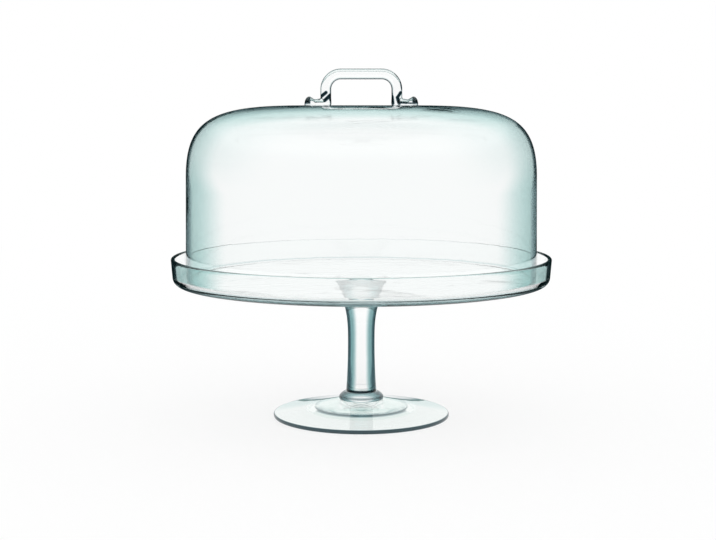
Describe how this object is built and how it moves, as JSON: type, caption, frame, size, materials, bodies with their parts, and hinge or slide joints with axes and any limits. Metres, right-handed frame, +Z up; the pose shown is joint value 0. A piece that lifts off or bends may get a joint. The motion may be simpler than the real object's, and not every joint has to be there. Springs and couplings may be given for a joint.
{
  "type": "footed cake stand with dome",
  "caption": "Clear glass cake stand: round rimmed plate on a stem and foot, under a loose glass dome with a bail handle, for showing and covering a cake.",
  "frame": {"origin": "on the axis of the stand, in the plane on which the foot rests", "axes": "+Z up along the common axis of stand and dome, +X along the handle's bar, +Y away from the side that the picture shows"},
  "size_m": [0.3148, 0.3148, 0.2895],
  "materials": {
    "stand_glass": "clear, fire-polished, faint teal in the thick parts",
    "dome_glass": "clear, fire-polished, faint teal at the edges",
    "handle_glass": "clear, fire-polished"
  },
  "bodies": {
    "stand": {"foot": "stand_glass", "stem_collar": "stand_glass", "stem": "stand_glass", "plate": "stand_glass"},
    "lid": {"dome": "dome_glass", "handle": "handle_glass"}
  },
  "joints": [
    {"name": "dome_lift", "type": "slide", "parent": "stand", "child": "lid", "axis": [0, 0, 1], "range_m": [0, 0.2]}
  ]
}
